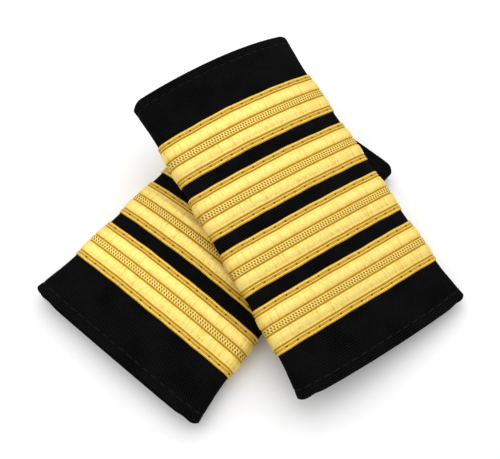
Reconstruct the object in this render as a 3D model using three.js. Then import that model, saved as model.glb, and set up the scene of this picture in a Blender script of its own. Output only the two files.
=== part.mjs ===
// A crossed pair of pilot's shoulder slides: flat black fabric sleeves that push over a
// shirt's shoulder strap, each with four gold lace bars round it. The lower slide lies flat,
// and the upper slide lies across it with one corner of its wide mouth on the table.
// Each slide is modelled in its own frame: X across, Y from the wide mouth to the narrow
// mouth, Z up out of the front, with the origin midway along the bars, level with the folds.
import * as THREE from 'three';

// Driving dimensions, in millimetres.
const BAR_COUNT = 4;
const BAR_WIDTH = 12.7;
const BAR_SPACE = 3.7;
const FAR_MARGIN = 13.6;        // bare fabric from the last bar to the narrow mouth
const FOLD_RADIUS = 1.6;        // outside of the sleeve at its side folds
const FABRIC_THICKNESS = 0.55;
const BOARD_THICKNESS = 0.4;
const BOARD_SIDE_MARGIN = 5;    // from the fold to the edge of the stiffener board
const LACE_THICKNESS = 0.6;
const THREAD_THICKNESS = 0.3;
const LAYER_GAP = 0.1;
const FOLD_GAP = 0.3;           // between the front half and the back half of the sleeve
const SEAM_GAP = 0.3;           // on each side of the back seam's thread
const SEAM_THREAD_WIDTH = 0.4;
const BACK_FLAT = 0.5;          // the share of the half width over which the back is flat
const LIP_SAG = 0.45;           // how much lower the back hangs at the mouths, clear of lace
const HEM_STITCH_INSET = 2.5;
const BAR_STITCH_INSET = 1.3;
const MOUTH_FADE = 1.5;         // power by which flare, sag and bow grow towards a mouth
const CORNER_CUT = 1.0;         // how far a mouth's corners are rounded back at the folds
const HEM_SHARE = 0.55;         // where a hem ends, as a share of a mouth's bare margin

// What differs between the two slides as they lie.
const LOWER = {
  name: 'lower', halfWidth: 25.35, taper: 0.036, nearMargin: 14.2, nearFlare: 1.1, farFlare: 0.9,
  nearBow: 0.1, backDepth: 1.4, crown: (t) => 1.0 + 2.8 * Math.sin(Math.PI * t) ** 2,
};
const UPPER = {
  name: 'upper', halfWidth: 24.7, taper: 0.023, nearMargin: 12.4, nearFlare: 1.1, farFlare: 0.9,
  nearBow: 0.8, backDepth: 0.8, crown: (t) => 0.8 + 4.2 * t ** 1.4,
};
const UPPER_PLACE = { x: 12.7, y: 14.2, z: 13.15 };          // x and y from the lower slide
const UPPER_TURN = { yaw: 71.1, pitch: 10.8, roll: 6.1 };   // degrees

// Worked out from those.
const BARS_LENGTH = BAR_COUNT * BAR_WIDTH + (BAR_COUNT - 1) * BAR_SPACE;
const LACE_INSIDE = LAYER_GAP;
const LACE_OUTSIDE = LACE_INSIDE + LACE_THICKNESS;
const FOLD_HEIGHT = LOWER.backDepth + FOLD_RADIUS + LACE_OUTSIDE + FOLD_GAP / 2;
const FOLD_START = 1 - FOLD_RADIUS / UPPER.halfWidth;
const FOLD_MIDDLE = (1 + FOLD_START) / 2;
const FOLD_TIP = (3 + FOLD_MIDDLE) / 4;
const BOARD_SHARE = 0.9;        // columns within this share of the half width carry the board

// Places across the half width, as shares of it: even over the face, then round the fold.
const ACROSS = [0, 0.25, 0.5, 0.7, 0.85, FOLD_START, FOLD_MIDDLE, FOLD_TIP, 1];
const ACROSS_BOTH = [...ACROSS.slice(1).map((share) => -share).reverse(), ...ACROSS];
const BOARD_ACROSS = ACROSS_BOTH.filter((share) => Math.abs(share) < BOARD_SHARE);

const MATERIALS = {
  fabric: new THREE.MeshStandardMaterial({ color: 0x14151b, roughness: 0.9, metalness: 0 }),
  board: new THREE.MeshStandardMaterial({ color: 0x24252a, roughness: 0.7, metalness: 0 }),
  lace: new THREE.MeshStandardMaterial({ color: 0xe2b74e, roughness: 0.42, metalness: 0.6 }),
  goldThread: new THREE.MeshStandardMaterial({ color: 0xc99a34, roughness: 0.5, metalness: 0.3 }),
  blackThread: new THREE.MeshStandardMaterial({ color: 0x202127, roughness: 0.8, metalness: 0 }),
};

const barStart = (index) => -BARS_LENGTH / 2 + index * (BAR_WIDTH + BAR_SPACE);
const nearMouth = (slide) => -BARS_LENGTH / 2 - slide.nearMargin;
const farMouth = () => BARS_LENGTH / 2 + FAR_MARGIN;

// How far a place is out of the laced middle: 0 at the first or last bar, 1 at the mouth.
function mouthShare(slide, y) {
  const near = Math.max(0, (-BARS_LENGTH / 2 - y) / slide.nearMargin) ** MOUTH_FADE;
  const far = Math.max(0, (y - BARS_LENGTH / 2) / FAR_MARGIN) ** MOUTH_FADE;
  return { near, far };
}

function halfWidth(slide, y) {
  const { near, far } = mouthShare(slide, y);
  return slide.halfWidth - slide.taper * y + slide.nearFlare * near + slide.farFlare * far;
}

// A row's places bow out in the middle of the wide mouth, and are cut back at every corner.
function bowed(slide, share, y) {
  const { near, far } = mouthShare(slide, y);
  const corner = Math.max(0, (Math.abs(share) - FOLD_START) / (1 - FOLD_START)) ** 2;
  return y + (near - far) * CORNER_CUT * corner - near * slide.nearBow * (1 - share ** 2);
}

// The round part of the section: rises from 0 at the fold to the radius within one radius.
function foldRise(share, half, radius) {
  return radius * Math.sqrt(Math.max(0, 1 - Math.abs(share) ** (2 * half / radius)));
}

// A point on the front half, at a distance outside the fabric's outer face.
function frontPoint(slide, share, y, outward) {
  const half = halfWidth(slide, y) + outward;
  const along = (y - nearMouth(slide)) / (farMouth() - nearMouth(slide));
  const rise = foldRise(share, half, FOLD_RADIUS + outward);
  const z = slide.crown(along) * (1 - share ** 2) + rise + FOLD_GAP / 2;
  return new THREE.Vector3(share * half, bowed(slide, share, y), z);
}

// The same on the back half, which is flat in the middle and curves up to the folds.
function backPoint(slide, share, y, outward) {
  const half = halfWidth(slide, y) + outward;
  const { near, far } = mouthShare(slide, y);
  const curve = Math.max(0, (Math.abs(share) - BACK_FLAT) / (1 - BACK_FLAT)) ** 2;
  const depth = (slide.backDepth + LIP_SAG * (near + far)) * (1 - curve);
  const rise = foldRise(share, half, FOLD_RADIUS + outward);
  return new THREE.Vector3(share * half, bowed(slide, share, y), -depth - rise - FOLD_GAP / 2);
}

// The rows of points that every layer shares, so that all layers stay parallel.
function panelRows(slide) {
  const near = [0, HEM_STITCH_INSET, HEM_SHARE * slide.nearMargin].map((d) => nearMouth(slide) + d);
  const bars = [...Array(BAR_COUNT).keys()].flatMap((i) => [barStart(i), barStart(i) + BAR_WIDTH]);
  const far = [HEM_SHARE * FAR_MARGIN, HEM_STITCH_INSET, 0].map((d) => farMouth() - d);
  return [...near, ...bars, ...far];
}

const grid = (rows, columns, point) => rows.map((y) => columns.map((share) => point(share, y)));

// A closed body between an upper and a lower grid of points of the same size.
function slab(upper, lower) {
  const rows = upper.length;
  const columns = upper[0].length;
  const points = [...upper.flat(), ...lower.flat()];
  const top = (i, j) => i * columns + j;
  const bottom = (i, j) => rows * columns + i * columns + j;
  const faces = [];
  const quad = (a, b, c, d) => faces.push(a, b, c, a, c, d);
  for (let i = 0; i < rows - 1; i += 1) {
    for (let j = 0; j < columns - 1; j += 1) {
      quad(top(i, j), top(i, j + 1), top(i + 1, j + 1), top(i + 1, j));
      faces.push(bottom(i, j), bottom(i + 1, j + 1), bottom(i, j + 1));
      faces.push(bottom(i, j), bottom(i + 1, j), bottom(i + 1, j + 1));
    }
    const last = columns - 1;
    quad(top(i, 0), top(i + 1, 0), bottom(i + 1, 0), bottom(i, 0));
    quad(top(i + 1, last), top(i, last), bottom(i, last), bottom(i + 1, last));
  }
  for (let j = 0; j < columns - 1; j += 1) {
    const end = rows - 1;
    quad(top(0, j + 1), top(0, j), bottom(0, j), bottom(0, j + 1));
    quad(top(end, j), top(end, j + 1), bottom(end, j + 1), bottom(end, j));
  }
  const positions = points.flatMap((p) => p.toArray());
  const geometry = new THREE.BufferGeometry();
  geometry.setAttribute('position', new THREE.Float32BufferAttribute(positions, 3));
  geometry.setIndex(faces);
  geometry.computeVertexNormals();
  return geometry;
}

function mesh(name, geometry, material) {
  const result = new THREE.Mesh(geometry, MATERIALS[material].clone());
  result.name = name;
  return result;
}

// A layer of the front or the back, between two distances outside the fabric's outer face.
function frontLayer(slide, rows, columns, outer, inner) {
  return slab(
    grid(rows, columns, (share, y) => frontPoint(slide, share, y, outer)),
    grid(rows, columns, (share, y) => frontPoint(slide, share, y, inner)),
  );
}

// The back is two halves that meet at a lengthwise seam, so its columns start beside the seam.
function backLayer(slide, rows, side, outer, inner) {
  const seamEdge = SEAM_THREAD_WIDTH / 2 + SEAM_GAP;
  const columns = side < 0 ? ACROSS.map((share) => -share).reverse() : ACROSS;
  const clear = (p) => (Math.abs(p.x) < seamEdge ? p.setX(side * seamEdge) : p);
  return slab(
    grid(rows, columns, (share, y) => clear(backPoint(slide, share, y, inner))),
    grid(rows, columns, (share, y) => clear(backPoint(slide, share, y, outer))),
  );
}

const frontPanel = (slide) => frontLayer(slide, panelRows(slide), ACROSS_BOTH, 0, -FABRIC_THICKNESS);

const backFlap = (slide, side) => backLayer(slide, panelRows(slide), side, 0, -FABRIC_THICKNESS);

function stiffenerBoard(slide) {
  const rows = panelRows(slide).slice(1, -1);
  const face = -FABRIC_THICKNESS - LAYER_GAP;
  const narrowed = (share, y, outward) => {
    const limit = 1 - BOARD_SIDE_MARGIN / halfWidth(slide, y);
    const within = Math.max(-limit, Math.min(limit, share));
    return frontPoint(slide, within, y, outward);
  };
  return slab(
    grid(rows, BOARD_ACROSS, (share, y) => narrowed(share, y, face)),
    grid(rows, BOARD_ACROSS, (share, y) => narrowed(share, y, face - BOARD_THICKNESS)),
  );
}

const goldBar = (slide, rows) => frontLayer(slide, rows, ACROSS_BOTH, LACE_OUTSIDE, LACE_INSIDE);

const goldBarBack = (slide, rows, side) => backLayer(slide, rows, side, LACE_OUTSIDE, LACE_INSIDE);

// A row of stitches across the front, as one thread lying on the layer below it.
function stitchRow(slide, y, outward, rowBefore, rowAfter) {
  const lift = (share, at, height) => {
    const before = frontPoint(slide, share, rowBefore, height);
    const after = frontPoint(slide, share, rowAfter, height);
    return before.lerp(after, (at - rowBefore) / (rowAfter - rowBefore));
  };
  const rows = [y - THREAD_THICKNESS / 2, y + THREAD_THICKNESS / 2];
  const base = outward + LAYER_GAP;
  return slab(
    grid(rows, ACROSS_BOTH, (share, at) => lift(share, at, base + THREAD_THICKNESS)),
    grid(rows, ACROSS_BOTH, (share, at) => lift(share, at, base)),
  );
}

// The thread of the back seam, which runs the sleeve's length between the two back flaps.
function seamThread(slide) {
  const middle = -FABRIC_THICKNESS / 2;
  const line = (side) => (share, y) => {
    const p = backPoint(slide, 0, y, middle + side * THREAD_THICKNESS / 2);
    return p.setX(share * SEAM_THREAD_WIDTH / 2);
  };
  const rows = panelRows(slide);
  return slab(grid(rows, [-1, 1], line(-1)), grid(rows, [-1, 1], line(1)));
}

function bar(slide, index) {
  const start = barStart(index);
  const rows = [start, start + BAR_WIDTH];
  const name = `${slide.name}_gold_bar_${index + 1}`;
  const stitches = (y) => stitchRow(slide, y, LACE_OUTSIDE, ...rows);
  return [
    mesh(name, goldBar(slide, rows), 'lace'),
    mesh(`${name}_back_left`, goldBarBack(slide, rows, -1), 'lace'),
    mesh(`${name}_back_right`, goldBarBack(slide, rows, 1), 'lace'),
    mesh(`${name}_stitches_near`, stitches(rows[0] + BAR_STITCH_INSET), 'goldThread'),
    mesh(`${name}_stitches_far`, stitches(rows[1] - BAR_STITCH_INSET), 'goldThread'),
  ];
}

function shoulderSlide(slide) {
  const group = new THREE.Group();
  const rows = panelRows(slide);
  const hem = (first, y) => stitchRow(slide, y, 0, rows[first], rows[first + 1]);
  const nearHem = hem(1, rows[1] + THREAD_THICKNESS / 2);
  const farHem = hem(rows.length - 3, rows.at(-2) - THREAD_THICKNESS / 2);
  group.add(
    mesh(`${slide.name}_front_panel`, frontPanel(slide), 'fabric'),
    mesh(`${slide.name}_back_flap_left`, backFlap(slide, -1), 'fabric'),
    mesh(`${slide.name}_back_flap_right`, backFlap(slide, 1), 'fabric'),
    mesh(`${slide.name}_back_seam_thread`, seamThread(slide), 'blackThread'),
    mesh(`${slide.name}_stiffener_board`, stiffenerBoard(slide), 'board'),
    mesh(`${slide.name}_near_hem_thread`, nearHem, 'blackThread'),
    mesh(`${slide.name}_far_hem_thread`, farHem, 'blackThread'),
    ...[...Array(BAR_COUNT).keys()].flatMap((index) => bar(slide, index)),
  );
  return group;
}

// The pair, standing on Z = 0 with the origin under the middle of its box.
function crossedPair() {
  const lower = shoulderSlide(LOWER);
  const upper = shoulderSlide(UPPER);
  lower.position.z = FOLD_HEIGHT;
  upper.position.set(UPPER_PLACE.x, UPPER_PLACE.y, UPPER_PLACE.z);
  const turn = Object.values(UPPER_TURN).map(THREE.MathUtils.degToRad);
  upper.rotation.set(turn[1], turn[2], turn[0], 'ZXY');
  const pair = new THREE.Group();
  pair.add(lower, upper);
  pair.updateMatrixWorld(true);
  const box = new THREE.Box3().setFromObject(pair, true);
  const centre = box.getCenter(new THREE.Vector3());
  pair.position.set(-centre.x, -centre.y, -box.min.z);
  return pair;
}

export default crossedPair();
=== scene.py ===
"""The looks of a crossed pair of pilot's shoulder slides: black ribbed sleeves with gold lace bars.

Each slide is built in its own frame, in millimetres: x across, y from the wide (near) mouth to the
narrow (far) mouth, z up out of the front, with the origin midway along the bars, level with the
folds. Everything on a slide is laid on one smooth surface, the outer face of its sleeve. A place on
it is given as a distance round the sleeve from the middle of the front, and y.
"""

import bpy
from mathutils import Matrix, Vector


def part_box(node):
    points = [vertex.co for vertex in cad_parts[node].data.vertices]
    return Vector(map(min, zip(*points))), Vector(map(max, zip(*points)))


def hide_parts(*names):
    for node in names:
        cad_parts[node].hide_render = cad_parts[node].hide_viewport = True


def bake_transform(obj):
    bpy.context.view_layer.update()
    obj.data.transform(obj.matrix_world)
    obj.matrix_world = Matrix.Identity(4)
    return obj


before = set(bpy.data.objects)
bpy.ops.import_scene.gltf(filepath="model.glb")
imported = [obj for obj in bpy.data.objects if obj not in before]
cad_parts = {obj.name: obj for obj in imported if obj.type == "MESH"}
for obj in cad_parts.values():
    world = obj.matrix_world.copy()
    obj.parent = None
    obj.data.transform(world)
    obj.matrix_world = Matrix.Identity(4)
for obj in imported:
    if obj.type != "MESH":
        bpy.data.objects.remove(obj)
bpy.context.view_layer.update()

import math

import bpy
import numpy as np
from mathutils import Matrix, Vector

MM = 0.001
SEED = 7

# The CAD model's driving dimensions, in millimetres.
BAR_COUNT = 4
BAR_WIDTH = 12.7
BAR_SPACE = 3.7
FAR_MARGIN = 13.6
FOLD_RADIUS = 1.6
FOLD_GAP = 0.3
BACK_FLAT = 0.5
LIP_SAG = 0.45
MOUTH_FADE = 1.5
NEAR_FLARE = 1.1
FAR_FLARE = 0.9
FABRIC = 0.55
BOARD = 0.4
BOARD_SIDE_MARGIN = 5
LAYER_GAP = 0.1
BARS_LENGTH = BAR_COUNT * BAR_WIDTH + (BAR_COUNT - 1) * BAR_SPACE
CORNER_CUT = 1.0
CORNER_START = 0.9           # as a share of the half width
CORNER_DENT, DENT_AT, DENT_WIDTH = 0.3, 0.86, 0.07    # the pull beside a wide mouth's corners
LOWER_NEAR_MARGIN, LOWER_NEAR_BOW = 14.2, 0.1
FOLD_HEIGHT = 3.85           # the lower slide's folds above the table
UPPER_PLACE = Vector((12.7, 14.2, 9.3))                     # from the lower slide's origin
UPPER_TURN = [math.radians(a) for a in (10.8, 6.1, 71.1)]   # pitch, roll, yaw

# Sewing, in millimetres.
HEM = 2 * FABRIC            # the hem is two layers thick
HEM_DEPTH = 7.5
HEM_INSET = 2.5             # from the mouth to the hem's stitches
HEM_SWELL = 0.05            # how far a hem stands out of the sleeve
STITCH_PULL = 0.14          # how far the hem's stitches draw the cloth in
SEAM_ROLL = 0.3             # the roundness of the back seam's edges
HEM_PITCH, HEM_STITCH_GAP, HEM_JITTER = 2.6, 0.6, 0.05
SEAM_PITCH, SEAM_STITCH_REACH, SEAM_STITCH_SLANT = 2.2, 0.75, 0.25
LACE_PITCH, LACE_STITCH_GAP = 3.2, 0.4
LACE_CHANNEL = 5.45         # from the lace's middle line to its rows of stitches
LACE_INSIDE = 0.02          # the lace's underside, above the sleeve
HOLLOW_DEPTH = 0.12         # of the lace's needle holes and of the gaps in its middle strip
CHAIN_PITCH = 0.8           # along the lace's middle strip
CHAIN_SLANT = 0.35
CHAIN_AT = 0.34             # from the lace's middle line to each row of the strip's gaps
SATIN_AT = 2.78             # from the lace's middle line to the middle of a satin band
SEAM_HALF_GAP = 0.02

# Across half the lace, from its middle line: distance, height, and tone from dark to pale; the tone is
# painted shade in the grooves and at the edges, and painted light on the raised satin.
LACE_PROFILE = [
    (0.00, 0.48, 0.84), (0.17, 0.47, 0.80), (CHAIN_AT, 0.44, 0.76), (0.50, 0.46, 0.80), (0.64, 0.47, 0.82),
    (0.82, 0.40, 0.56), (0.93, 0.27, 0.25), (1.05, 0.20, 0.08), (1.17, 0.27, 0.28),
    (1.32, 0.42, 0.66), (1.50, 0.51, 0.86), (1.66, 0.53, 0.90), (1.80, 0.53, 0.84),
    (2.00, 0.55, 0.92), (2.35, 0.57, 0.97), (SATIN_AT, 0.57, 1.00), (3.25, 0.53, 0.96),
    (3.58, 0.48, 0.91), (3.80, 0.44, 0.82), (3.94, 0.44, 0.88), (4.14, 0.44, 0.93), (4.36, 0.37, 0.76),
    (4.52, 0.22, 0.30), (4.66, 0.12, 0.03), (4.80, 0.19, 0.22), (4.92, 0.30, 0.62), (5.05, 0.33, 0.80),
    (5.17, 0.27, 0.55), (5.28, 0.21, 0.40), (LACE_CHANNEL, 0.19, 0.36), (5.62, 0.21, 0.40),
    (5.76, 0.28, 0.66), (5.92, 0.31, 0.78), (6.10, 0.27, 0.60), (6.24, 0.18, 0.36), (6.35, 0.02, 0.12),
]

# Mesh fineness.
SECTION_STEPS = 240
ROW_STEP = 0.5              # millimetres
LIP_ROWS = [0, 0.03, 0.1, 0.2, 0.35, 0.55, 0.8, 1.2, 1.7, 2.15, 2.35, 2.5, 2.65, 2.85, 3.3, 4, 5, 6,
            6.8, 7.2, 7.5, 7.8, 8.4]


def fade(low, high, value):
    t = np.clip((value - low) / (high - low), 0, 1)
    return t * t * (3 - 2 * t)


def dip(value, width):
    return np.exp(-((value / width) ** 2))


class Slide:
    """A sleeve's outer face, as a table of its section at even steps of arc and of y."""

    def __init__(self, name, matrix, half_width, taper, near_margin, near_bow, back_depth, crown, waves):
        self.name, self.matrix = name, matrix
        self.half_width, self.taper, self.near_margin = half_width, taper, near_margin
        self.near_bow, self.back_depth, self.crown, self.waves = near_bow, back_depth, crown, waves
        self.near = -BARS_LENGTH / 2 - near_margin
        self.far = BARS_LENGTH / 2 + FAR_MARGIN
        self.rows = np.arange(self.near - 2, self.far + 2 + ROW_STEP, ROW_STEP)
        self.table = np.array([self.section(y) for y in self.rows])
        self.bodies = (name + "_back", name + "_front")

    def section(self, y):
        """Rows of x, z, their normal, half the way round and the share of the half width."""
        near = max(0, (-BARS_LENGTH / 2 - y) / self.near_margin) ** MOUTH_FADE
        far = max(0, (y - BARS_LENGTH / 2) / FAR_MARGIN) ** MOUTH_FADE
        half = self.half_width - self.taper * y + NEAR_FLARE * near + FAR_FLARE * far
        along = min(1, max(0, (y - self.near) / (self.far - self.near)))
        share = np.sin(np.linspace(0, math.pi / 2, SECTION_STEPS))
        rise = FOLD_RADIUS * np.sqrt(1 - share ** (2 * half / FOLD_RADIUS))
        top = self.crown(along) * (1 - share**2) + rise + FOLD_GAP / 2
        curve = np.clip((share - BACK_FLAT) / (1 - BACK_FLAT), 0, None) ** 2
        depth = (self.back_depth + LIP_SAG * (near + far)) * (1 - curve)
        low = -depth - rise - FOLD_GAP / 2
        x = np.concatenate([share, share[::-1]]) * half
        z = np.concatenate([top, low[::-1]])
        arc = np.concatenate([[0], np.cumsum(np.hypot(np.diff(x), np.diff(z)))])
        even = np.linspace(0, arc[-1], SECTION_STEPS)
        x, z = np.interp(even, arc, x), np.interp(even, arc, z)
        dx, dz = np.gradient(x), np.gradient(z)
        size = np.hypot(dx, dz)
        return np.stack([x, z, -dz / size, dx / size, np.full_like(x, arc[-1]), x / half], 1)

    def look_up(self, share, y):
        i = np.clip((y - self.rows[0]) / ROW_STEP, 0, len(self.rows) - 1.001)
        j = np.abs(share) * (SECTION_STEPS - 1.001)
        i0, j0 = i.astype(int), j.astype(int)
        fi, fj = (i - i0)[..., None], (j - j0)[..., None]
        low = self.table[i0, j0] * (1 - fj) + self.table[i0, j0 + 1] * fj
        high = self.table[i0 + 1, j0] * (1 - fj) + self.table[i0 + 1, j0 + 1] * fj
        return low * (1 - fi) + high * fi

    def half_round(self, y):
        """Half the way round the sleeve at y: the distance from the front middle to the back seam."""
        return float(self.look_up(np.array(0.5), np.array(float(y)))[4])

    def at(self, share, y, outward):
        """Points in the slide's frame. share is 0 at the front middle and 1 or -1 at the back seam."""
        share, y, outward = np.broadcast_arrays(share, y, outward)
        share = (share + 1) % 2 - 1
        found = self.look_up(share, y)
        outward = outward + self.waves(share, y, self)
        x = np.sign(share) * (found[..., 0] + found[..., 2] * outward)
        z = found[..., 1] + found[..., 3] * outward
        return np.stack([x, self.bowed(found[..., 5], y), z], -1)

    def bowed(self, share, y):
        """Rows bow out in the middle of the wide mouth, and are cut back at every corner."""
        near = np.clip((-BARS_LENGTH / 2 - y) / self.near_margin, 0, None) ** MOUTH_FADE
        far = np.clip((y - BARS_LENGTH / 2) / FAR_MARGIN, 0, None) ** MOUTH_FADE
        corner = np.clip((share - CORNER_START) / (1 - CORNER_START), 0, None) ** 2
        dent = CORNER_DENT * dip(share - DENT_AT, DENT_WIDTH) * near
        return y + (near - far) * CORNER_CUT * corner + dent - near * self.near_bow * (1 - share**2)


def slide_matrix(place, turn=(0, 0, 0)):
    pitch, roll, yaw = turn
    spin = Matrix.Rotation(yaw, 4, "Z") @ Matrix.Rotation(pitch, 4, "X") @ Matrix.Rotation(roll, 4, "Y")
    return Matrix.Translation(place * MM) @ spin @ Matrix.Scale(MM, 4)


# Meshes.

def make_piece(slide, name, points, faces, uvs, material, tone=None):
    """A mesh from places in the slide's frame, with its cloth places in millimetres as its UVs."""
    mesh = bpy.data.meshes.new(name)
    world = np.array(slide.matrix)
    points = points.reshape(-1, 3) @ world[:3, :3].T + world[:3, 3]
    mesh.from_pydata(points.tolist(), [], faces)
    corners = np.empty(len(mesh.loops), dtype=np.int32)
    mesh.loops.foreach_get("vertex_index", corners)
    layer = mesh.uv_layers.new(name="cloth_mm")
    layer.data.foreach_set("uv", uvs.reshape(-1, 2)[corners].astype(np.float32).ravel())
    if tone is not None:
        # For the lace, the tone is painted shade and light from its profile.
        attribute = mesh.attributes.new("tone", "FLOAT", "POINT")
        attribute.data.foreach_set("value", tone.astype(np.float32).ravel())
    mesh.shade_smooth()
    mesh.materials.append(material)
    piece = bpy.data.objects.new(name, mesh)
    bpy.context.scene.collection.objects.link(piece)
    return piece


def grid_faces(rows, columns, start=0, turned=False):
    i, j = np.meshgrid(np.arange(rows - 1), np.arange(columns - 1), indexing="ij")
    a = start + (i * columns + j).ravel()
    quads = np.stack([a, a + 1, a + columns + 1, a + columns], 1)
    return (quads[:, ::-1] if turned else quads).tolist()


def slab(slide, name, share, y, outer, inner, material, middle=0, tone=None):
    """A closed layer between two distances outside the sleeve, over a grid of places."""
    rows, columns = share.shape
    count = rows * columns
    points = np.concatenate([slide.at(share, y, outer).reshape(-1, 3),
                             slide.at(share, y, inner).reshape(-1, 3)])
    faces = grid_faces(rows, columns) + grid_faces(rows, columns, count, turned=True)
    first, last = np.arange(columns), np.arange(columns) + (rows - 1) * columns
    left, right = np.arange(rows) * columns, np.arange(rows) * columns + columns - 1
    for rim, turned in ((first, True), (last, False), (left, False), (right, True)):
        quads = np.stack([rim[:-1], rim[1:], rim[1:] + count, rim[:-1] + count], 1)
        faces += (quads if turned else quads[:, ::-1]).tolist()
    around = share * slide.half_round(0)
    uvs = np.stack([around, y - middle], -1).reshape(-1, 2)
    both = None if tone is None else np.concatenate([tone.ravel(), np.zeros(count)])
    return make_piece(slide, name, points, faces, np.concatenate([uvs, uvs]), material, both)


def threads(slide, name, starts, ends, radius, base, arch, material, sides=8, rings=9):
    """Short lengths of thread lying on the sleeve, each from one place to another, as (round, y)."""
    starts, ends = np.asarray(starts, float), np.asarray(ends, float)
    t = (1 - np.cos(np.linspace(0, math.pi, rings))) / 2
    swell = np.clip(np.sin(math.pi * t), 0, 1) ** 0.45 * 0.85 + 0.15
    angle = np.arange(sides) * 2 * math.pi / sides
    direction = ends - starts
    direction /= np.linalg.norm(direction, axis=1)[:, None]
    way = starts[:, None] + (ends - starts)[:, None] * t[:, None]
    beside = (radius * swell)[None, :, None] * np.sin(angle)
    above = (radius * swell)[:, None] * np.cos(angle) + (arch * np.sin(math.pi * t))[:, None]
    above = above[None] + np.asarray(base, float).reshape(-1, 1, 1)
    u = way[:, :, None, 0] - direction[:, None, None, 1] * beside
    y = way[:, :, None, 1] + direction[:, None, None, 0] * beside
    points = slide.at(u / slide.half_round(0), y, above)
    uvs = np.stack([u, y], -1)
    ring = np.arange(rings * sides).reshape(rings, sides)
    a, b = ring[:-1], ring[1:]
    one = np.stack([a, b, np.roll(b, -1, 1), np.roll(a, -1, 1)], -1).reshape(-1, 4)
    faces = []
    for index in range(len(starts)):
        shift = index * rings * sides
        faces += (one + shift).tolist()
        faces += [(ring[0] + shift).tolist(), (ring[-1][::-1] + shift).tolist()]
    return make_piece(slide, name, points, faces, uvs, material)


# Materials. Their UVs are places on the cloth in millimetres, so their sizes are real ones.

class Nodes:
    """A material's node tree, built by short calls."""

    def __init__(self, name, **constants):
        self.material = bpy.data.materials.new(name)
        self.material.use_nodes = True
        self.tree = self.material.node_tree
        self.shader = next(n for n in self.tree.nodes if n.type == "BSDF_PRINCIPLED")
        for socket, value in constants.items():
            self.shader.inputs[socket.replace("_", " ")].default_value = value
        uv = self.tree.nodes.new("ShaderNodeUVMap")
        uv.uv_map = "cloth_mm"
        self.uv = uv.outputs[0]
        split = self.add("ShaderNodeSeparateXYZ", {0: self.uv})
        self.u, self.v = split.outputs[0], split.outputs[1]

    def add(self, kind, inputs=(), **settings):
        node = self.tree.nodes.new(kind)
        for key, value in settings.items():
            setattr(node, key, value)
        for key, value in dict(inputs).items():
            if isinstance(value, bpy.types.NodeSocket):
                self.tree.links.new(value, node.inputs[key])
            else:
                node.inputs[key].default_value = value
        return node

    def math(self, operation, *values):
        return self.add("ShaderNodeMath", enumerate(values), operation=operation).outputs[0]

    def wave(self, value, pitch, phase=0.0):
        """A wave from 0 to 1 with its crests a pitch apart."""
        turned = self.math("MULTIPLY_ADD", value, 2 * math.pi / pitch, phase)
        return self.math("MULTIPLY_ADD", self.math("SINE", turned), 0.5, 0.5)

    def noise(self, scale, stretch=(1, 1), detail=2.0):
        place = self.add("ShaderNodeVectorMath", {0: self.uv, 1: (*stretch, 1)}, operation="MULTIPLY")
        inputs = {"Vector": place.outputs[0], "Scale": scale, "Detail": detail}
        return self.add("ShaderNodeTexNoise", inputs).outputs[0]

    def remap(self, value, low, high, to_low=0.0, to_high=1.0):
        inputs = {0: value, 1: low, 2: high, 3: to_low, 4: to_high}
        node = self.add("ShaderNodeMapRange", inputs, interpolation_type="SMOOTHSTEP")
        return node.outputs[0]

    def band(self, value, middle, half, soft):
        """1 within half of a middle, falling to 0 over a soft edge."""
        away = self.math("ABSOLUTE", self.math("SUBTRACT", value, middle))
        return self.remap(away, half + soft, half)

    def mix(self, factor, a, b):
        node = self.add("ShaderNodeMix", data_type="RGBA")
        for key, value in ((0, factor), (6, a), (7, b)):
            if isinstance(value, bpy.types.NodeSocket):
                self.tree.links.new(value, node.inputs[key])
            else:
                node.inputs[key].default_value = value if key == 0 else (*value, 1)
        return node.outputs[2]

    def finish(self, colour, height, depth, roughness=None):
        bump = self.add("ShaderNodeBump", {"Height": height, "Strength": 1.0, "Distance": depth * MM})
        links = [(colour, "Base Color"), (bump.outputs[0], "Normal"), (roughness, "Roughness")]
        for output, socket in links:
            if output is not None:
                self.tree.links.new(output, self.shader.inputs[socket])
        return self.material


BLACK_DEEP, BLACK_TOP = (0.0001, 0.0001, 0.0002), (0.0125, 0.0121, 0.0130)
RIB_PITCH, COLUMN_PITCH = 0.62, 0.62
COLUMN_STEP = 2 * math.pi / 3     # how far the columns shift from one rib to the next, as a phase


def fabric_material():
    """Black cloth, woven in fine ribs parallel to the bars and in columns that step from rib to rib."""
    n = Nodes("black_ribbed_cloth", Roughness=0.85, Specular_IOR_Level=0.02, Sheen_Weight=0.006,
              Sheen_Roughness=0.45, Sheen_Tint=(0.55, 0.6, 0.75, 1))
    wander = n.math("MULTIPLY_ADD", n.noise(0.35, detail=1.0), 0.5, n.v)
    rib = n.wave(wander, RIB_PITCH)
    step = n.math("MULTIPLY", n.math("FLOOR", n.math("DIVIDE", wander, RIB_PITCH)), COLUMN_STEP)
    column = n.wave(n.u, COLUMN_PITCH, step)
    ribbed = n.math("MULTIPLY_ADD", rib, 0.7, 0.3)
    weave = n.math("MULTIPLY", ribbed, n.math("MULTIPLY_ADD", column, 0.8, 0.2))
    fuzz = n.noise(6.0, (1.0, 0.6), 3.0)
    height = n.math("MULTIPLY_ADD", fuzz, 0.35, weave)
    cloudy = n.math("MULTIPLY_ADD", n.noise(0.12), 0.5, -0.25)
    tone = n.math("ADD", n.math("MULTIPLY", weave, n.remap(fuzz, 0.3, 0.75, 0.45, 1.3)), cloudy)
    rough = n.remap(fuzz, 0.3, 0.7, 0.78, 0.95)
    clamped = n.math("MINIMUM", n.math("MAXIMUM", tone, 0.0), 1.0)
    return n.finish(n.mix(clamped, BLACK_DEEP, BLACK_TOP), height, 0.24, rough)


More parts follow.
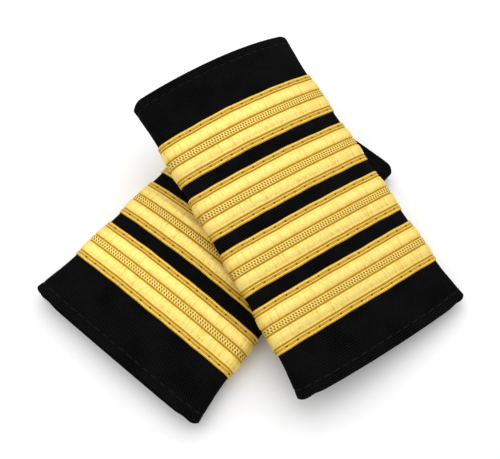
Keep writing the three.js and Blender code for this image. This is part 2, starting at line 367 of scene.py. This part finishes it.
GOLD_HOLE = (0.070, 0.034, 0.001)
GOLD_GAP = (0.17, 0.090, 0.001)
# The gold runs from deep to pale with the lace's paleness, which carries painted shade and light from its
# profile.
GOLD_DEEP = (0.35, 0.20, 0.004)
GOLD_MIDDLE = (0.68, 0.41, 0.033)
GOLD_PALE = (0.89, 0.68, 0.20)
YARN_PITCH = 0.5


def lace_patterns(n):
    """The lace's stripes, from its middle line outwards, and the marks that lie on them."""
    away = n.math("ABSOLUTE", n.v)
    satin = n.band(away, SATIN_AT, 1.3, 0.15)
    channel = n.band(away, LACE_CHANNEL, 0.28, 0.1)
    strip = n.remap(away, 0.85, 0.7)
    plain = n.math("SUBTRACT", 1.0, n.math("MAXIMUM", n.math("MAXIMUM", satin, channel), strip))
    wander = n.math("MULTIPLY_ADD", n.noise(1.1, (1.0, 0.3), 1.0), 1.1, n.u)
    line = n.math("POWER", n.wave(wander, YARN_PITCH), 3.0)
    ribs = n.math("MULTIPLY", line, n.remap(n.noise(1.5, (1.0, 0.35)), 0.32, 0.66))
    cracks = n.remap(n.noise(1.5, (1.0, 0.14), 4.0), 0.58, 0.66)
    twist = n.wave(n.math("MULTIPLY_ADD", away, 0.9, n.u), 0.62)
    holes = n.math("MULTIPLY", n.band(away, LACE_CHANNEL, 0.06, 0.26), row_of_holes(n))
    return {
        "ribs": n.math("MULTIPLY", ribs, satin),
        "cracks": n.math("MULTIPLY", cracks, satin),
        "channel_ribs": n.math("MULTIPLY", n.wave(n.u, 0.42), channel),
        "twist": n.math("MULTIPLY", twist, plain),
        "dots": strip_dots(n, away),
        "holes": holes,
    }


def lace_paleness_and_painted_shade(n, marks):
    """How pale the gold is, from the tone that the mesh carries, which is painted shade and light, and
    from the marks.
    """
    tone = n.add("ShaderNodeAttribute", attribute_name="tone").outputs["Fac"]
    streaks = n.noise(1.9, (1.0, 0.10), 4.0)
    paleness_and_painted_shade = n.math("ADD", tone, n.math("MULTIPLY_ADD", streaks, 0.5, -0.25))
    for mark, amount in (("cracks", 0.16), ("ribs", 0.26), ("channel_ribs", 0.25)):
        paleness_and_painted_shade = n.math("SUBTRACT", paleness_and_painted_shade, n.math("MULTIPLY", marks[mark], amount))
    return paleness_and_painted_shade


def lace_colour(n, marks, paleness_and_painted_shade):
    # The paleness carries painted shade: the deep gold falls in the grooves and at the edges, the pale
    # gold on the satin.
    low = n.mix(n.remap(paleness_and_painted_shade, 0.0, 0.5), GOLD_DEEP, GOLD_MIDDLE)
    gold = n.mix(n.remap(paleness_and_painted_shade, 0.45, 1.0), low, GOLD_PALE)
    gold = n.mix(n.math("MULTIPLY", marks["dots"], 0.95), gold, GOLD_GAP)
    return n.mix(n.math("MULTIPLY", marks["holes"], 0.92), gold, GOLD_HOLE)


def lace_relief(n, marks):
    height = 0.0
    amounts = {"ribs": -0.8, "channel_ribs": 1.0, "cracks": -0.5, "twist": 0.6, "dots": -0.25}
    for mark, amount in amounts.items():
        height = n.math("ADD", height, n.math("MULTIPLY", marks[mark], amount))
    return height


def lace_material():
    """Woven gold lace: satin stripes of crosswise metallic yarn, cords, and a dotted middle strip."""
    n = Nodes("gold_lace", Metallic=0.6, Specular_IOR_Level=0.3)
    marks = lace_patterns(n)
    # The paleness carries the lace profile's painted shade and light.
    paleness_and_painted_shade = lace_paleness_and_painted_shade(n, marks)
    rough = n.remap(paleness_and_painted_shade, 0.1, 1.0, 0.60, 0.44)
    return n.finish(lace_colour(n, marks, paleness_and_painted_shade), lace_relief(n, marks), 0.06, rough)


def row_of_holes(n):
    """1 round each needle hole along a channel."""
    along = n.math("PINGPONG", n.u, LACE_PITCH / 2)
    return n.remap(along, 0.34, 0.10)


def strip_dots(n, away):
    """Two rows of dark gaps between the slanted threads of the middle strip, half a pitch apart."""
    side = n.math("SIGN", n.v)
    slanted = n.math("MULTIPLY_ADD", n.v, CHAIN_SLANT, n.math("MULTIPLY_ADD", side, CHAIN_PITCH / 4, n.u))
    along = n.math("DIVIDE", n.math("PINGPONG", slanted, CHAIN_PITCH / 2), 0.21)
    across = n.math("DIVIDE", n.math("SUBTRACT", away, CHAIN_AT), 0.34)
    off = n.math("ADD", n.math("MULTIPLY", along, along), n.math("MULTIPLY", across, across))
    return n.remap(off, 1.4, 0.5)


def thread_material(name, dark, pale, roughness, metallic=0.0, specular=0.3):
    """Twisted sewing thread."""
    n = Nodes(name, Metallic=metallic, Specular_IOR_Level=specular, Roughness=roughness)
    twist = n.wave(n.math("MULTIPLY_ADD", n.v, 0.8, n.u), 0.4)
    tone = n.math("MULTIPLY", twist, n.remap(n.noise(1.5), 0.3, 0.7, 0.6, 1.0))
    return n.finish(n.mix(tone, dark, pale), twist, 0.05)


def board_material():
    """The dark felted board that stiffens the front."""
    n = Nodes("stiffener_felt", Roughness=0.9, Specular_IOR_Level=0.2)
    fibres = n.noise(3.0, (1.0, 0.25), 4.0)
    crossing = n.noise(3.4, (0.25, 1.0), 4.0)
    felt = n.math("MULTIPLY", fibres, crossing)
    return n.finish(n.mix(n.remap(felt, 0.1, 0.4), (0.012, 0.012, 0.014), (0.035, 0.035, 0.04)), felt, 0.1)


def floor_material():
    """A plain white table."""
    material = bpy.data.materials.new("white_table")
    material.use_nodes = True
    shader = next(n for n in material.node_tree.nodes if n.type == "BSDF_PRINCIPLED")
    shader.inputs["Base Color"].default_value = (0.93, 0.93, 0.93, 1)
    shader.inputs["Roughness"].default_value = 0.9
    shader.inputs["Specular IOR Level"].default_value = 0.2
    return material


# The pieces of a slide.

def from_edge(slide, y):
    """The distance in from the nearer mouth."""
    return np.minimum(y - slide.near, slide.far - y)


def sleeve_grid(slide):
    """Places on the sleeve, finer at the lips, the stitching, the hems' edges and the seam."""
    lip = np.array(LIP_ROWS)
    middle = np.linspace(slide.near + LIP_ROWS[-1] + 1, slide.far - LIP_ROWS[-1] - 1, 70)
    ys = np.concatenate([slide.near + lip, middle, slide.far - lip[::-1]])
    half = slide.half_round(0)
    seam = 1 - (SEAM_HALF_GAP + np.array([0, 0.04, 0.12, 0.22, 0.35])) / half
    side = np.concatenate([np.linspace(0, 1 - 0.8 / half, 110)[1:], seam[::-1]])
    shares = np.concatenate([-side[::-1], [0], side])
    return np.meshgrid(shares, ys)


def rolled(depth, radius):
    """How far a rounded edge has fallen away, at a distance in from it."""
    out = np.clip(1 - depth / radius, 0, 1)
    return radius * (1 - np.sqrt(1 - out**2))


def sleeve(slide, material):
    """The cloth itself: one thick shell, hemmed inside both mouths and seamed up its back."""
    share, y = sleeve_grid(slide)
    depth = from_edge(slide, y)
    seam = (1 - np.abs(share)) * slide.half_round(0) - SEAM_HALF_GAP
    hem = fade(HEM_DEPTH + 0.35, HEM_DEPTH - 0.1, depth)
    half = HEM / 2
    pull = STITCH_PULL * dip(depth - HEM_INSET, 0.4)
    outer = HEM_SWELL * hem - rolled(depth, half) - pull - rolled(seam, SEAM_ROLL)
    inner = -FABRIC - (HEM - FABRIC) * hem
    inner = np.where(depth < half, -HEM + rolled(depth, half), inner) + rolled(seam, SEAM_ROLL / 2)
    return slab(slide, slide.name + "_sleeve", share, y, outer, inner, material)


def stiffener(slide, material):
    margin = HEM_DEPTH + 1
    y = np.linspace(slide.near + margin, slide.far - margin, 40)
    half = slide.half_round(0)
    width = (slide.half_width - BOARD_SIDE_MARGIN) / half
    share, y = np.meshgrid(np.linspace(-width, width, 60), y)
    top = -FABRIC - LAYER_GAP
    return slab(slide, slide.name + "_stiffener", share, y, top + 0 * y, top - BOARD, material)


def bar_middle(index):
    return -BARS_LENGTH / 2 + index * (BAR_WIDTH + BAR_SPACE) + BAR_WIDTH / 2


def along_strip(value, pitch):
    """The signed distance from the nearest of marks a pitch apart."""
    return (value + pitch / 2) % pitch - pitch / 2


def lace_grid(half):
    """Places on a lace, with the height and tone that its profile gives them; the tone is painted shade
    and light.
    """
    distance, rise, paleness_and_painted_shade = np.array(LACE_PROFILE).T
    across = np.concatenate([-distance[:0:-1], distance])
    rise, paleness_and_painted_shade = (np.concatenate([v[:0:-1], v]) for v in (rise, paleness_and_painted_shade))
    step = CHAIN_PITCH / 4
    around = np.arange(-int(half / step) + 1, int(half / step)) * step
    u, v = np.meshgrid(around, across)
    height, tone = (np.repeat(w[:, None], len(around), 1) for w in (rise, paleness_and_painted_shade))
    return u, v, height, tone


def lace_hollows(u, v):
    """The needle holes in the channels and the gaps in the middle strip, each 1 at its deepest."""
    hole = dip(along_strip(u, LACE_PITCH), 0.3) * dip(np.abs(v) - LACE_CHANNEL, 0.22)
    phase = u + CHAIN_SLANT * v + np.sign(v) * CHAIN_PITCH / 4
    return hole, dip(along_strip(phase, CHAIN_PITCH), 0.16) * dip(np.abs(v) - CHAIN_AT, 0.16)


def lace(slide, index, material, rng):
    """One bar: a strip of lace right round the sleeve, with its ends meeting at the back seam."""
    half = slide.half_round(0)
    # The tone is painted shade: darker in the lace's grooves and at its edges, palest on the raised satin.
    u, v, height, tone = lace_grid(half)
    hole, gap = lace_hollows(u, v)
    height = height - HOLLOW_DEPTH * hole - HOLLOW_DEPTH * gap
    end = half - SEAM_HALF_GAP - np.abs(u)
    height = LAYER_GAP + height * fade(-0.4, 0.9, end)
    wobble = edge_wobble(u, rng) * fade(0.0, BAR_WIDTH / 2, np.abs(v))
    y = bar_middle(index) + v + wobble
    inside = np.full_like(height, LACE_INSIDE)
    name = f"{slide.name}_gold_lace_{index + 1}"
    return slab(slide, name, u / half, y, height, inside, material, bar_middle(index), tone)


def edge_wobble(u, rng):
    """A slight seeded waviness along a hand-sewn strip."""
    wave = np.zeros_like(u)
    for length in (31.0, 17.0, 7.3):
        wave += 0.035 * np.sin(2 * math.pi * (u / length + rng.random()))
    return wave


def lace_stitches(slide, index, material):
    half = slide.half_round(0)
    count = int(half / LACE_PITCH)
    u = np.arange(-count, count) * LACE_PITCH
    starts, ends = [], []
    for side in (-1, 1):
        y = np.full_like(u, bar_middle(index) + side * LACE_CHANNEL)
        starts.append(np.stack([u + LACE_STITCH_GAP / 2, y], 1))
        ends.append(np.stack([u + LACE_PITCH - LACE_STITCH_GAP / 2, y], 1))
    starts, ends = np.concatenate(starts), np.concatenate(ends)
    name = f"{slide.name}_lace_stitches_{index + 1}"
    return threads(slide, name, starts, ends, 0.11, LAYER_GAP + 0.17, 0.07, material)


def hem_stitches(slide, material, rng):
    half = slide.half_round(0)
    count = int(half / HEM_PITCH)
    u = np.arange(-count, count) * HEM_PITCH
    starts, ends = [], []
    for y in (slide.near + HEM_INSET, slide.far - HEM_INSET):
        jitter = rng.normal(0, HEM_JITTER, len(u))
        starts.append(np.stack([u + HEM_STITCH_GAP / 2, y + jitter], 1))
        ends.append(np.stack([u + HEM_PITCH - HEM_STITCH_GAP / 2, y - jitter], 1))
    starts, ends = np.concatenate(starts), np.concatenate(ends)
    return threads(slide, slide.name + "_hem_stitches", starts, ends, 0.15, -0.10, 0.10, material)


def seam_stitches(slide, material):
    """Whip stitches over the back seam."""
    y = np.arange(slide.near + 1.2, slide.far - 1.2, SEAM_PITCH)
    half = slide.half_round(0)
    bars = [bar_middle(i) for i in range(BAR_COUNT)]
    from_bar = np.min([np.abs(y - b) for b in bars], axis=0)
    base = np.where(from_bar < BAR_WIDTH / 2 + 0.3, 0.32, -0.06)
    starts = np.stack([np.full_like(y, half - SEAM_STITCH_REACH), y - SEAM_STITCH_SLANT], 1)
    ends = np.stack([np.full_like(y, half + SEAM_STITCH_REACH), y + SEAM_STITCH_SLANT], 1)
    return threads(slide, slide.name + "_seam_stitches", starts, ends, 0.13, base, 0.10, material)


# Placing pieces: each is baked into the world, and the CAD parts it stands for are hidden.

def put_on_bodies(slide, piece, slot, *nodes):
    normal = Vector(slide.matrix.col[2][:3]) / MM
    origin = slide.matrix.translation
    high = origin + normal * (slide.crown(0.5) + FOLD_RADIUS) * MM
    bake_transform(piece)
    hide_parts(*[f"{slide.name}_{node}" for node in nodes])


def make_slide(slide, materials, rng):
    cloth = sleeve(slide, materials["black_fabric"])
    put_on_bodies(slide, cloth, "black_fabric", "front_panel", "back_flap_left", "back_flap_right")
    round_it = 2 * slide.half_round(0) * MM
    for i in range(BAR_COUNT):
        bar = f"gold_bar_{i + 1}"
        strip = lace(slide, i, materials["gold_lace"], rng)
        put_on_bodies(slide, strip, "gold_lace", bar, bar + "_back_left", bar + "_back_right")
        sewing = lace_stitches(slide, i, materials["gold_thread"])
        put_on_bodies(slide, sewing, "gold_thread", bar + "_stitches_near", bar + "_stitches_far")
    hems = hem_stitches(slide, materials["black_thread"], rng)
    put_on_bodies(slide, hems, "black_thread", "near_hem_thread", "far_hem_thread")
    seam = seam_stitches(slide, materials["black_thread"])
    put_on_bodies(slide, seam, "black_thread", "back_seam_thread")
    board = stiffener(slide, materials["stiffener"])
    put_on_bodies(slide, board, "stiffener", "stiffener_board")


# The studio.

CAMERA_TARGET = Vector((-8.80, 2.86, 0.0))
CAMERA_AZIMUTH, CAMERA_ELEVATION = math.radians(39.32), math.radians(65.62)
CAMERA_DISTANCE, LENS, SENSOR = 219.87, 56.76, 36
LIGHT_DISTANCE, WORLD_STRENGTH = 0.6, 0.77
TABLE_HALF_SIDE, TABLE_DROP = 1.5, 0.0001     # metres


def back_vector(azimuth, elevation):
    flat = math.cos(elevation)
    return Vector((math.sin(azimuth) * flat, -math.cos(azimuth) * flat, math.sin(elevation)))


def add_object(name, data, place, towards=None):
    thing = bpy.data.objects.new(name, data)
    thing.location = place
    if towards is not None:
        thing.rotation_euler = (place - towards).to_track_quat("Z", "Y").to_euler()
    bpy.context.scene.collection.objects.link(thing)
    return thing


def add_camera():
    data = bpy.data.cameras.new("camera")
    data.lens, data.sensor_width = LENS, SENSOR
    data.clip_start, data.clip_end = 0.01, 10
    target = CAMERA_TARGET * MM
    place = target + back_vector(CAMERA_AZIMUTH, CAMERA_ELEVATION) * CAMERA_DISTANCE * MM
    camera = add_object("camera", data, place)
    back = (place - target).normalized()
    right = Vector((0, 0, 1)).cross(back).normalized()
    up = back.cross(right)
    camera.rotation_euler = Matrix((right, up, back)).transposed().to_euler()
    bpy.context.scene.camera = camera


def add_light(name, azimuth, elevation, size, power):
    data = bpy.data.lights.new(name, "AREA")
    data.shape, data.size, data.energy = "DISK", size, power
    place = back_vector(math.radians(azimuth), math.radians(elevation)) * LIGHT_DISTANCE
    add_object(name, data, place, Vector((0, 0, 0)))


def add_table():
    mesh = bpy.data.meshes.new("table")
    side = TABLE_HALF_SIDE
    corners = [(-side, -side, 0), (side, -side, 0), (side, side, 0), (-side, side, 0)]
    mesh.from_pydata(corners, [], [(0, 1, 2, 3)])
    mesh.materials.append(floor_material())
    add_object("table", mesh, Vector((0, 0, -TABLE_DROP)))


def add_studio():
    world = bpy.data.worlds.new("studio")
    bpy.context.scene.world = world
    world.use_nodes = True
    background = world.node_tree.nodes["Background"]
    background.inputs[0].default_value = (1, 1, 1, 1)
    background.inputs[1].default_value = WORLD_STRENGTH
    add_light("back", 204, 56, 0.8, 2.0)
    add_light("left", 279, 50, 0.7, 0.9)
    add_table()
    bpy.context.scene.view_settings.view_transform = "Standard"


WAVE_REACH, WAVE_LIFT = 11, 0.12     # millimetres


def lip_waves(length, phase):
    """Cloth that isn't perfectly flat: slight waves that grow towards the mouths."""
    def waves(share, y, slide):
        near = np.clip((slide.near + WAVE_REACH - y) / WAVE_REACH, 0, 1) ** 2
        far = np.clip((y - slide.far + WAVE_REACH) / WAVE_REACH, 0, 1) ** 2
        front = fade(-0.1, 0.15, 0.5 - np.abs(share))
        round_it = share * slide.half_round(0) / length + phase
        return WAVE_LIFT * front * (near * np.sin(2 * math.pi * round_it)
                                    + 0.6 * far * np.sin(2 * math.pi * (0.8 * round_it + 0.4)))
    return waves


def lower_origin():
    """The lower slide lies square to the frame, so its box gives its place."""
    low, high = (np.array(corner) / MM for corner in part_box("lower_front_panel"))
    near_mouth = BARS_LENGTH / 2 + LOWER_NEAR_MARGIN + LOWER_NEAR_BOW
    return Vector(((low[0] + high[0]) / 2, low[1] + near_mouth, FOLD_HEIGHT))


def make_slides():
    low_origin = lower_origin()
    lower = Slide("lower", slide_matrix(low_origin), half_width=25.35, taper=0.036,
                  near_margin=LOWER_NEAR_MARGIN, near_bow=LOWER_NEAR_BOW, back_depth=1.4,
                  crown=lambda t: 1.0 + 2.8 * math.sin(math.pi * t) ** 2, waves=lip_waves(23, 0.1))
    upper = Slide("upper", slide_matrix(low_origin + UPPER_PLACE, UPPER_TURN), half_width=24.7,
                  taper=0.023, near_margin=12.4, near_bow=0.8, back_depth=0.8,
                  crown=lambda t: 0.8 + 4.2 * t**1.4, waves=lip_waves(27, 0.6))
    return lower, upper


def make_materials():
    gold, pale_gold = (0.5, 0.28, 0.03), (0.85, 0.6, 0.14)
    black, pale_black = (0.002, 0.002, 0.0025), (0.012, 0.012, 0.014)
    return {
        "black_fabric": fabric_material(),
        "gold_lace": lace_material(),
        "gold_thread": thread_material("gold_thread", gold, pale_gold, 0.4, metallic=0.4),
        "black_thread": thread_material("black_thread", black, pale_black, 0.6, specular=0.12),
        "stiffener": board_material(),
    }


def main():
    rng = np.random.default_rng(SEED)
    slides = make_slides()
    materials = make_materials()
    for slide in slides:
        make_slide(slide, materials, rng)
    add_camera()
    add_studio()


main()
